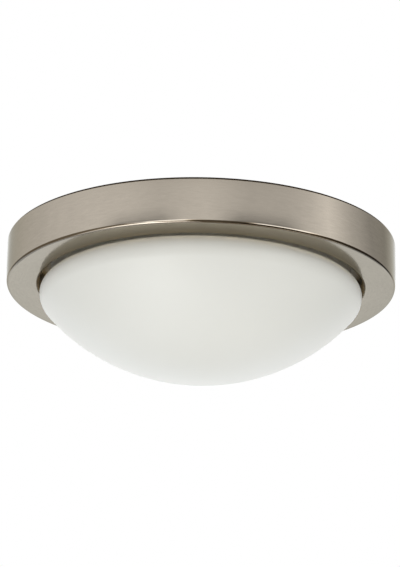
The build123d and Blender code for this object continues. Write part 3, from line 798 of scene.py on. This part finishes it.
@dataclass
class BackPlate(Light):
    """The dished plate, the felt pad on it, the strap and what hangs the light."""

    pad_fill: float = 0.8
    pad_round: float = 2.5
    pad_rough: float = 0.45
    pad_waves: tuple[Point, ...] = ((0.045, 0.6), (0.22, 0.4))  # scale and share of each noise
    pad_side: float = 0.6
    pad_seat: float = 0.5
    pad_rows: int = 24
    pad_steps: int = 6
    pad_crease: float = 70.0
    pad_turns: int = 200
    nut_flutes: int = 40
    nut_depth: float = 0.3
    nut_dome: float = 3.5
    nut_chamfer: float = 0.5
    nut_steps: int = 8
    flute_steps: int = 6
    knurl_start: float = 1.0
    knurl_end: float = 0.6

    def pad(self) -> Piece:
        """Makes the felt ring, whose faces are a little uneven.

        Returns:
            The new piece.
        """
        low, high = (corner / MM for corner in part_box("insulation_pad"))
        node = self.nodes["insulation_pad"]
        outer = solids_of(node)[0][1].x / MM - self.pad_rough
        inner = min(Vector(v.co.xy).length for v in node.data.vertices) / MM + self.pad_rough
        bottom = low.z
        top = high.z - self.pad_rough
        reaches = spread(inner, outer, self.pad_rows)[1:-1]
        face = [(reach, top) for reach in reaches]
        base = [(reach, bottom) for reach in reaches]
        radii = [self.pad_round] * 2
        section = rounded([base[0], (inner, bottom), (inner, top), face[0]], radii, self.pad_steps)
        section += face[1:]
        section += rounded([face[-1], (outer, top), (outer, bottom), base[-1]], radii, self.pad_steps)[1:]
        section += base[1:-1][::-1]

        def uneven(radius: float, height: float, angle: float) -> Point:
            """Moves a point of the pad by a smooth noise."""
            lift = self.pad_rough * sum(
                share * noise.noise(turned(radius, height, angle) * scale) for scale, share in self.pad_waves
            )
            return radius + self.pad_side * lift, height + lift * (height > bottom + self.pad_seat)

        return new_piece("felt_pad", lathe(section, self.pad_turns, shift=uneven), self.pad_crease)

    def nuts(self) -> Piece:
        """Makes the knurled cap nuts.

        Returns:
            The new piece.
        """
        shape = bmesh.new()
        for low, high in solids_of(self.nodes["cap_nuts"]):
            radius = (high.x - low.x) / 2 / MM
            height = (high.z - low.z) / MM
            straight = height - self.nut_dome
            knurl_low = self.knurl_start
            knurl_high = straight - self.knurl_end
            section = [(0.0, 0.0), (radius - self.nut_chamfer, 0.0), (radius, self.nut_chamfer)]
            section += [(radius, row) for row in spread(knurl_low, knurl_high, self.nut_steps)]
            section += arc((radius - self.nut_dome, straight), self.nut_dome, 0, 90, self.nut_steps)
            section += [(0.0, height)]

            def knurl(at: float, along: float, angle: float) -> Point:
                """Cuts the flutes into the straight part."""
                cut = at >= radius - ON_WALL and knurl_low < along < knurl_high
                return at - cut * self.nut_depth * wave(self.nut_flutes * angle), along

            seat = Vector(((low.x + high.x) / 2, (low.y + high.y) / 2, high.z))
            lathe(section, self.nut_flutes * self.flute_steps, axis_at(seat, -UP), knurl, shape)
        return new_piece("knurled_nuts", shape)

    def build(self) -> None:
        """Makes the pad and the nuts, and dresses the rest."""
        pad = self.place(self.pad(), Body.HOUSING, FELT, "insulation_pad")
        self.place(self.nuts(), Body.HOUSING, NICKEL, "cap_nuts")
        self.paint(ENAMEL, "back_plate")
        self.paint(ZINC, "mounting_strap")
        self.paint(BLACK_NYLON, "inlet_bushing")
        self.paint(SPRING, "shade_spring_1", "shade_spring_2", "shade_spring_3")


@dataclass
class Screws(Light):
    """Screws with a rounded head and a driver recess. A head has a radius and a height."""

    pan_head: Point = (3.4, 2.2)
    pan_shank: float = 1.8
    mounting_head: Point = (3.9, 2.4)
    mounting_shank: float = 2.05
    terminal_head: Point = (1.7, 5.0)
    head_round: float = 0.9
    most_round: float = 0.45
    round_steps: int = 6
    recess_depth: float = 1.3
    recess_width: float = 0.42
    recess_reach: float = 0.55
    recess_taper: float = 0.62
    overcut: float = 0.5
    pitch: float = 0.8
    thread_depth: float = 0.22
    thread_start: float = 0.3
    thread_past: float = 0.1
    pitch_rows: int = 5
    least_rows: int = 4
    turns: int = 48

    def cutter(self, reach: float, recess: Recess) -> Shape:
        """The tapered bit that cuts a recess upwards from z = 0.

        Args:
            reach: Half length of the recess.
            recess: Its kind.

        Returns:
            The bit's shape, in millimetres.
        """
        width = self.recess_width
        if recess is Recess.CROSS:
            arm = [Vector(p) for p in ((width, width), (reach, width), (reach, -width))]
            outline = [Matrix.Rotation(-math.pi / 2 * turn, 2) @ p for turn in range(4) for p in arm]
        else:
            ends = ((reach, width), (reach, -width), (-reach, -width), (-reach, width))
            outline = [Vector(p) for p in ends]
        taper = self.recess_taper
        side = taper if recess is Recess.CROSS else 1
        shape = bmesh.new()
        mouth = [shape.verts.new((p.x, p.y, -self.overcut)) for p in outline]
        floor = [shape.verts.new((p.x * taper, p.y * side, self.recess_depth)) for p in outline]
        shape.faces.new(mouth)
        shape.faces.new(floor[::-1])
        for a in range(len(outline)):
            b = (a + 1) % len(outline)
            shape.faces.new((mouth[a], floor[a], floor[b], mouth[b]))
        bmesh.ops.recalc_face_normals(shape, faces=shape.faces)
        return shape

    def pattern(self, head: Point, shank: Point, recess: Recess) -> bpy.types.Mesh:
        """One screw with its head's face at z = 0 and its shank upwards, in metres.

        Args:
            head: Radius and height of the head.
            shank: Radius and length of the shank, with a radius of 0 for a headless screw.
            recess: The driver recess.

        Returns:
            The screw's mesh.
        """
        top = head[1]
        end = top + shank[1]
        round_off = min(self.head_round, self.most_round * top)
        section = [(0.0, 0.0)]
        section += arc((head[0] - round_off, round_off), round_off, -90, 90, self.round_steps)
        section += [(head[0], top)]
        shift = None
        if shank[0]:
            rows = max(self.least_rows, int(shank[1] / (self.pitch / self.pitch_rows)))
            section += [(shank[0], row) for row in spread(top, end, rows)]
            section += [(0.0, end)]
            start, past = top + self.thread_start, end + self.thread_past
            grip = thread(shank[0] - ON_WALL, start, past, self.pitch, self.thread_depth)

            def shift(radius: float, height: float, angle: float) -> Point:
                """Threads the shank alone."""
                return grip(radius, height, angle) if radius < shank[0] + ON_WALL else (radius, height)
        else:
            section += [(0.0, top)]
        screw = new_piece("screw", lathe(section, self.turns, shift=shift))
        bit = self.cutter(head[0] * self.recess_reach, recess)
        bmesh.ops.scale(bit, vec=(MM, MM, MM), verts=bit.verts)
        tool = new_piece("bit", bit)
        cut = screw.modifiers.new("recess", "BOOLEAN")
        cut.object = tool
        cut.solver = "EXACT"
        bpy.context.view_layer.update()
        mesh = bpy.data.meshes.new_from_object(screw.evaluated_get(bpy.context.evaluated_depsgraph_get()))
        bpy.data.objects.remove(screw)
        bpy.data.objects.remove(tool)
        return mesh

    def set_of(self, node: str, finish: Finish, head: Point, shank: float, facing: Facing,
               recess: Recess = Recess.CROSS) -> None:
        """Makes all the screws of one node as one piece.

        Args:
            node: The node that they stand for.
            finish: Their finish.
            head: Radius and height of the heads.
            shank: Radius of the shanks.
            facing: Where the heads face.
            recess: The driver recess.
        """
        shape = bmesh.new()
        for low, high in solids_of(self.nodes[node]):
            ahead = facing.direction(low.x + high.x)
            along = max(range(3), key=lambda i: abs(ahead[i]))
            length = (high[along] - low[along]) / MM - head[1]
            mesh = self.pattern(head, (shank, length), recess)
            seat = (low + high) / 2
            seat[along] = high[along] if ahead[along] > 0 else low[along]
            mesh.transform(axis_at(seat, -ahead))
            shape.from_mesh(mesh)
            bpy.data.meshes.remove(mesh)
        self.place(new_piece(node + "_cut", shape), Body.HOUSING, finish, node)

    def build(self) -> None:
        """Makes every set of screws."""
        for node, finish, facing in (
            ("spring_screws", ZINC, Facing.FLOOR),
            ("bracket_screws", ZINC, Facing.FLOOR),
            ("terminal_fixing_screw", ZINC, Facing.FLOOR),
            ("ground_screw", GREEN_STEEL, Facing.FLOOR),
            ("earth_screw", GREEN_STEEL, Facing.FLOOR),
            ("holder_screws", ZINC, Facing.OUTWARD),
        ):
            self.set_of(node, finish, self.pan_head, self.pan_shank, facing)
        self.set_of("mounting_screws", ZINC, self.mounting_head, self.mounting_shank, Facing.CEILING)
        self.set_of("terminal_screws", BRASS, self.terminal_head, 0.0, Facing.FLOOR, Recess.SLOT)


@dataclass
class Lamps(Light):
    """Both lamps with their caps, holders, brackets and contacts."""

    axis_y: float = 39.0
    axis_z: float = -49.0
    holder_x: float = 88.8819
    tip_start: float = 9.8
    cap_radius: float = 13.1
    cap_wall: float = 0.6
    cap_start: float = 5.0
    cap_end: float = 27.0
    cap_edge: float = 2.0
    cap_skirt: float = 9.0
    pitch: float = 3.63
    cap_thread: float = 0.7
    stem_length: float = 8.4
    gap: float = 0.3
    flare: float = 2.0
    neck_radius: float = 14.2
    waist_radius: float = 40.0
    globe_radius: float = 30.0
    globe_wall: float = 0.9
    length: float = 108.0
    shell_wall: float = 0.5
    shell_floor: float = 8.0
    shell_end: float = 33.0
    shell_mouth: float = 7.0
    shell_plain: float = 2.0
    shell_thread: float = 0.24
    thread_slack: float = 0.1
    thread_rows: int = 60
    edge_steps: int = 6
    waist_steps: int = 14
    globe_steps: int = 30
    crease: float = 50.0
    turns: int = 128

    def frame(self, side: int) -> Matrix:
        """The frame of a lamp whose Z runs from its holder to its tip.

        Args:
            side: 1 for the first lamp, -1 for the second.

        Returns:
            The frame, in metres.
        """
        spot = Vector((-side * self.holder_x, -side * self.axis_y, self.axis_z)) * MM
        return axis_at(spot, Vector((side, 0, 0)))

    def globe(self) -> list[Point]:
        """Draws the envelope's section.

        Returns:
            The section's points in order.
        """
        end = self.tip_start + self.cap_end
        stem = self.cap_radius - self.cap_wall - self.gap
        middle = self.tip_start + self.length - self.globe_radius
        waist = self.neck_radius + self.waist_radius
        rise = math.sqrt((self.globe_radius + self.waist_radius) ** 2 - waist**2)
        angle = math.degrees(math.atan2(rise, waist))
        path = [(stem, end - self.stem_length), (stem, end + self.gap)]
        path += [(self.neck_radius, end + self.gap + self.flare)]
        path += arc((waist, middle - rise), self.waist_radius, 180, -angle, self.waist_steps)
        path += arc((0, middle), self.globe_radius, -angle, 90 + angle, self.globe_steps)
        return thicken(path, self.globe_wall)

    def cap(self) -> list[Point]:
        """Draws the screw cap's section, with rows for its thread.

        Returns:
            The section's points in order.
        """
        low = self.tip_start + self.cap_start
        high = self.tip_start + self.cap_end
        corners = [(0, low), (self.cap_radius, low), (self.cap_radius, high)]
        path = rounded(corners, [self.cap_edge], self.edge_steps)[:-1]
        path += [(self.cap_radius, row) for row in spread(path[-1][1], high, self.thread_rows)[1:]]
        return thicken(path, self.cap_wall)

    def shell(self) -> list[Point]:
        """Draws the section of the holder's brass shell, with rows for its thread.

        Returns:
            The section's points in order.
        """
        inner = self.cap_radius + self.gap
        outer = inner + self.shell_wall
        heights = spread(self.shell_floor, self.shell_end, self.thread_rows)
        section = [(self.shell_mouth, self.shell_floor)] + [(outer, height) for height in heights]
        section += [(inner, height) for height in heights[:0:-1]]
        floor = self.shell_floor + self.shell_wall
        return section + [(inner, floor), (self.shell_mouth, floor)]

    def build(self) -> None:
        """Makes the envelopes, caps and shells, and dresses the rest."""
        low = self.tip_start + self.cap_start + self.cap_edge
        high = self.tip_start + self.cap_end - self.cap_skirt
        cap_inside = self.cap_radius - self.cap_wall - self.thread_slack
        roll = thread(cap_inside, low, high, self.pitch, self.cap_thread)
        low = self.shell_floor + self.shell_plain
        high = self.shell_end - self.shell_plain
        press = thread(self.cap_radius, low, high, self.pitch, -self.shell_thread)
        for number, side, body in ((1, 1, Body.LAMP_1), (2, -1, Body.LAMP_2)):
            frame = self.frame(side)
            for name, section, shift, rides_on, finish, node in (
                ("lamp_envelope", self.globe(), None, body, LAMP_GLASS, "lamp_globe"),
                ("threaded_cap", self.cap(), roll, body, LAMP_METAL, "lamp_cap"),
                ("threaded_shell", self.shell(), press, Body.HOUSING, BRASS, "screw_shell"),
            ):
                shape = lathe(section, self.turns, frame, shift)
                piece = new_piece(f"{name}_{number}", shape, self.crease)
                self.place(piece, rides_on, finish, f"{node}_{number}")
            self.paint(BLACK_GLASS, f"lamp_insulator_{number}")
            self.paint(SOLDER, f"lamp_tip_{number}")
            self.paint(PORCELAIN, f"lamp_holder_{number}")
            self.paint(BRASS, f"centre_contact_{number}")
            self.paint(ZINC, f"holder_bracket_{number}")


@dataclass
class Wiring(Light):
    """The terminal block and the inner leads."""

    def build(self) -> None:
        """Dresses the block and the leads."""
        self.paint(WHITE_NYLON, "terminal_block")
        self.paint(BLACK_WIRE, "live_leads")
        self.paint(WHITE_WIRE, "neutral_leads")
        self.paint(GREEN_WIRE, "earth_lead")


@dataclass(frozen=True)
class Card:
    """A soft-edged card round the studio, which only glossy surfaces mirror.

    It multiplies the light by its share, over bearings from left to right, in degrees from the front, and
    over heights from low to high, as the upward part of a direction of length 1.
    """

    left: float
    right: float
    low: float
    high: float
    soft: float
    share: float


@dataclass(frozen=True)
class StageLight:
    """One soft light, in metres and watts. Neither the camera nor metal sees it."""

    name: str
    spot: Sequence[float]
    aim: Sequence[float]
    size: float
    power: float
    colour: Colour = (1, 1, 1)
    width: float = 0.0

    def hang(self) -> None:
        """Puts the light into the scene, square unless it has a width of its own."""
        data = bpy.data.lights.new(self.name, "AREA")
        data.size = self.size
        if self.width:
            data.shape = "RECTANGLE"
            data.size_y = self.width
        data.energy = self.power
        data.color = self.colour
        light = bpy.data.objects.new(self.name, data)
        bpy.context.scene.collection.objects.link(light)
        light.location = self.spot
        light.rotation_euler = (Vector(self.aim) - Vector(self.spot)).to_track_quat("-Z", "Y").to_euler()
        light.visible_camera = False
        light.visible_glossy = False


# The two glows stand for light that the opal glass lets into the drum
AMBER = (1, 0.64, 0.2)
STAGE_LIGHTS = (
    StageLight("low_softbox", (-0.23, -0.12, -1.5), (0, 0, -0.06), 2.0, 9.9, (1, 1.045, 1.13)),
    StageLight("front_strip", (0, -2.2, -0.2), (0, 0, -0.045), 0.5, 5.2, (1, 0.92, 0.78)),
    StageLight("high_fill", (0.8, -1.6, 1.5), (0, 0, -0.05), 2.0, 6),
    StageLight("right_fill", (1.7, -0.7, -0.5), (0.1, 0, -0.06), 1.0, 1.9),
    StageLight("left_fill", (-1.7, -0.7, -0.5), (-0.1, 0, -0.06), 1.0, 1.0),
    StageLight("back_fill", (-0.9, 1.9, 1.2), (0, 0, -0.05), 2.0, 6),
    StageLight("left_glow", (-0.15, 0.025, -0.034), (-0.15, 0.025, 0), 0.024, 0.0007, AMBER),
    StageLight("right_glow", (0.15, 0.025, -0.034), (0.15, 0.025, 0), 0.024, 0.0003, AMBER),
)


@dataclass
class Studio:
    """The pale floor, the soft lights, the white surround and the camera.

    The camera's distance and aim are in radii of the drum. Screens give a grey level at each bearing, in
    degrees from the front. The colour low_cast is for directions in the windows cast_far and cast_low, and
    card_cast is for cards darker than brown_below. A card's soft edge is in degrees, and soft_degrees of
    it count as a height of 1.
    """

    floor_z: float = -1.7
    floor_size: float = 12.0
    floor_colour: Colour = (0.85, 0.81, 0.72)
    floor_roughness: float = 0.8
    focal_px: float = 2720.3
    image_height: int = 567
    sensor: float = 36.0
    clip_end: float = 50.0
    radius: float = 0.165
    ring_z: float = -0.0386
    distance: float = 14.0
    tilt: float = 19.352
    roll: float = 0.978
    aim_x: float = -0.0045
    aim_z: float = 0.037
    ambient: float = 0.66
    gap_lights: int = 40
    gap_reach: float = 100.0
    gap_spot: Point = (0.1366, -0.0380)
    gap_aim: Point = (0.1352, -0.0410)
    gap_width: float = 0.001
    gap_power: float = 5e-5
    gap_colour: Colour = (1, 0.84, 0.58)
    screens: tuple[Point, ...] = (
        (-180, 0.93), (-175, 0.965), (-155, 0.80), (-110, 0.68), (-72, 0.80), (-50, 0.80),
        (-25, 0.70), (2, 0.80), (28, 0.63), (52, 0.65), (66, 0.76), (79, 0.96),
        (98, 0.60), (118, 0.40), (138, 0.45), (155, 0.88), (174, 0.90), (180, 0.93),
    )
    screen_level: float = 1.4
    low_cast: Colour = (1.0, 1.05, 1.12)
    cast_far: tuple[float, float, float] = (0.7, 2, 0.2)
    cast_low: tuple[float, float, float] = (-2, -0.15, 0.1)
    card_cast: Colour = (1.0, 0.80, 0.54)
    brown_below: float = 0.4
    soft_degrees: float = 150.0
    cards: tuple[Card, ...] = (
        Card(-140, -48, -0.75, 0.04, 10, 0.24),
        Card(-28, -6, -0.5, 0.06, 8, 2.6),
        Card(-28, -6, -1.2, -0.5, 8, 0.25),
        Card(152, 174, -1.2, -0.5, 8, 0.3),
        Card(-4, 26, -1.2, 0.0, 8, 0.14),
        Card(174, 200, -1.2, -0.45, 8, 0.3),
        Card(-200, -158, -1.2, -0.45, 8, 0.3),
        Card(30, 70, -0.5, 0.08, 8, 2.6),
        Card(30, 70, -1.2, -0.5, 8, 0.04),
        Card(72, 140, -1.1, -0.04, 10, 0.07),
        Card(-46, -26, 0.0, 0.22, 18, 0.55),
        Card(24, 46, 0.0, 0.22, 18, 0.45),
        Card(-200, 200, 0.5, 1.1, 8, 0.07),
        Card(-80, -28, -1.2, -0.72, 8, 3.2),
        Card(100, 152, -1.2, -0.72, 8, 3.2),
    )

    def camera(self) -> None:
        """Puts the camera where the photo was taken from."""
        data = bpy.data.cameras.new("camera")
        data.sensor_width = self.sensor
        data.lens = self.focal_px * self.sensor / self.image_height
        data.clip_end = self.clip_end
        camera = bpy.data.objects.new("camera", data)
        bpy.context.scene.collection.objects.link(camera)
        tilt = math.radians(self.tilt)
        spot = (
            self.aim_x * self.radius,
            -self.distance * math.cos(tilt) * self.radius,
            self.ring_z + (self.aim_z - self.distance * math.sin(tilt)) * self.radius,
        )
        camera.matrix_world = (
            Matrix.Translation(spot)
            @ Matrix.Rotation(math.pi / 2 + tilt, 4, "X")
            @ Matrix.Rotation(math.radians(self.roll), 4, "Z")
        )
        bpy.context.scene.camera = camera

    def gap_glow(self) -> None:
        """Lines the front of the gap round the glass with weak lights.

        They stand for the light that opal glass and nickel carry up to the edge of the glass.
        """
        step = 2 * self.gap_reach / self.gap_lights
        length = math.radians(step) * self.gap_spot[0]
        for number in range(self.gap_lights):
            bearing = math.radians(step * (number + 0.5) - self.gap_reach)
            out = Vector((math.sin(bearing), -math.cos(bearing), 0))
            spot, aim = (out * reach + UP * z for reach, z in (self.gap_spot, self.gap_aim))
            name = f"gap_glow_{number}"
            StageLight(name, spot, aim, length, self.gap_power, self.gap_colour, self.gap_width).hang()

    def floor(self) -> None:
        """Lays the pale floor well below the light."""
        half = self.floor_size / 2
        shape = bmesh.new()
        corners = [(-half, -half), (half, -half), (half, half), (-half, half)]
        shape.faces.new([shape.verts.new((x, y, self.floor_z)) for x, y in corners])
        piece = new_piece("floor", shape)
        material = bpy.data.materials.new("pale_floor")
        material.use_nodes = True
        tree = Tree(material.node_tree)
        shader = material.node_tree.nodes["Principled BSDF"]
        tree.fill(shader, {"Base Color": (*self.floor_colour, 1), "Roughness": self.floor_roughness})
        glow = tree.add("Emission").outputs["Emission"]
        shown = tree.rays("Camera", "Glossy", "Transmission")
        surface = tree.mix(shown, shader.outputs["BSDF"], glow)
        tree.link(surface, material.node_tree.nodes["Material Output"].inputs["Surface"])
        piece.data.materials.append(material)
        piece.visible_glossy = False

    @staticmethod
    def _window(tree: Tree, value: Socket, low: float, high: float, soft: float) -> Socket:
        """A soft-edged mask that is 1 between two values.

        Args:
            tree: The world's tree.
            value: What the mask reads.
            low: Where it has risen.
            high: Where it starts to fall.
            soft: Width of both slopes.

        Returns:
            The mask's socket.
        """
        rising = tree.remap(value, (low - soft, low), (0.0, 1.0), "SMOOTHSTEP")
        falling = tree.remap(value, (high, high + soft), (1.0, 0.0), "SMOOTHSTEP")
        return tree.math("MULTIPLY", rising, falling)

    def _mirrored(self, tree: Tree) -> tuple[Socket, Socket]:
        """What metal mirrors: white screens with soft gaps, dark brown cards and bright ones.

        Args:
            tree: The world's tree.

        Returns:
            The level and the colour of each direction.
        """
        parts = tree.add("SeparateXYZ", tree.add("TexCoord").outputs["Generated"]).outputs
        rise = parts["Z"]
        front = tree.math("MULTIPLY", parts["Y"], -1.0)
        bearing = tree.math("DEGREES", tree.math("ARCTAN2", parts["X"], front))
        turn = tree.math("MULTIPLY_ADD", bearing, 1 / 360, 0.5)
        level = tree.ramp(turn, [((degrees + 180) / 360, grey) for degrees, grey in self.screens])
        level = tree.math("MULTIPLY", level, self.screen_level)
        shade: Socket | float = 1.0
        for card in self.cards:
            across = self._window(tree, bearing, card.left, card.right, card.soft)
            along = self._window(tree, rise, card.low, card.high, card.soft / self.soft_degrees)
            mask = tree.math("MULTIPLY", across, along)
            factor = tree.math("MULTIPLY_ADD", mask, card.share - 1, 1.0)
            level = tree.math("MULTIPLY", level, factor)
            if card.share < self.brown_below:
                shade = tree.math("MULTIPLY", shade, factor)
        colour = tree.blend(shade, self.card_cast, (1, 1, 1))
        behind = self._window(tree, parts["Y"], *self.cast_far)
        below = self._window(tree, rise, *self.cast_low)
        return level, tree.blend(tree.math("MULTIPLY", behind, below), colour, self.low_cast)

    def world(self) -> None:
        """Makes the surround white, with the soft shade of a studio where metal mirrors it."""
        world = bpy.data.worlds.new("studio")
        bpy.context.scene.world = world
        world.use_nodes = True
        tree = Tree(world.node_tree)
        white = world.node_tree.nodes["Background"]
        white.inputs["Color"].default_value = (1, 1, 1, 1)
        level, colour = self._mirrored(tree)
        mirrored = tree.add("Background", colour, level).outputs["Background"]
        soft = tree.add("Background", (1, 1, 1, 1), self.ambient).outputs["Background"]
        hidden = tree.mix(tree.rays("Glossy"), soft, mirrored)
        surface = tree.mix(tree.rays("Camera", "Transmission"), hidden, white.outputs["Background"])
        tree.link(surface, world.node_tree.nodes["World Output"].inputs["Surface"])

    def build(self) -> None:
        """Sets the stage."""
        bpy.context.scene.view_settings.view_transform = "Standard"
        self.camera()
        self.floor()
        self.world()
        for light in STAGE_LIGHTS:
            light.hang()
        self.gap_glow()
        LOG.info("studio is set")


def main(frame: dict) -> None:
    """Builds every sub-assembly in order.
    """
    logging.basicConfig(level=logging.INFO, format="%(message)s")
    nodes = frame["nodes"]
    for part in (Drum, BackPlate, Screws, Lamps, Wiring, Shade):
        part(nodes).build()
        LOG.info("%s done", part.__name__)
    Studio().build()


if __name__ == "__main__":
    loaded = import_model()
    main(loaded)
